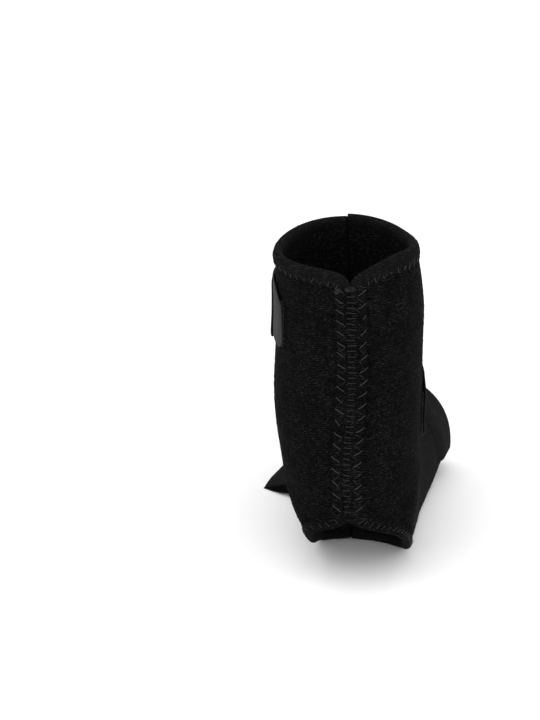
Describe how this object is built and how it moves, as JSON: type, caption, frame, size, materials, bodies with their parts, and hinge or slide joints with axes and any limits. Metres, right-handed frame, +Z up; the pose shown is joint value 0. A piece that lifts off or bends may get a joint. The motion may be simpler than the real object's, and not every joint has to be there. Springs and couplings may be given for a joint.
{
  "type": "open-heel ankle brace",
  "caption": "Open-heel wrap ankle brace of black knit-faced foam with a stitched back seam, hook-tab straps and a foot wrap with a loose end, standing on its sole.",
  "frame": {"origin": "centre of the bounding box's footprint, on the floor under the sole", "axes": "+Z up, +Y towards the toes, +X to the outer (lateral) side of a right foot"},
  "size_m": [0.1112, 0.1508, 0.1928],
  "materials": {
    "outer_panel": "loop-faced knit over foam, matt",
    "inner_panel": "loop-faced knit over foam, matt",
    "back_seam": "flat seam of dark grey thread",
    "ankle_strap": "woven strap, matt",
    "hook_tab": "dark grey hook tape, matt",
    "lower_strap": "woven strap, matt",
    "side_hook_tab": "black hook tape, matt",
    "foot_wrap": "smooth stretch cloth, matt"
  },
  "bodies": {
    "root": {"outer_panel": "outer_panel", "inner_panel": "inner_panel", "back_seam": "back_seam", "ankle_strap": "ankle_strap", "hook_tab": "hook_tab", "lower_strap": "lower_strap", "side_hook_tab": "side_hook_tab", "foot_wrap": "foot_wrap"}
  },
  "joints": []
}
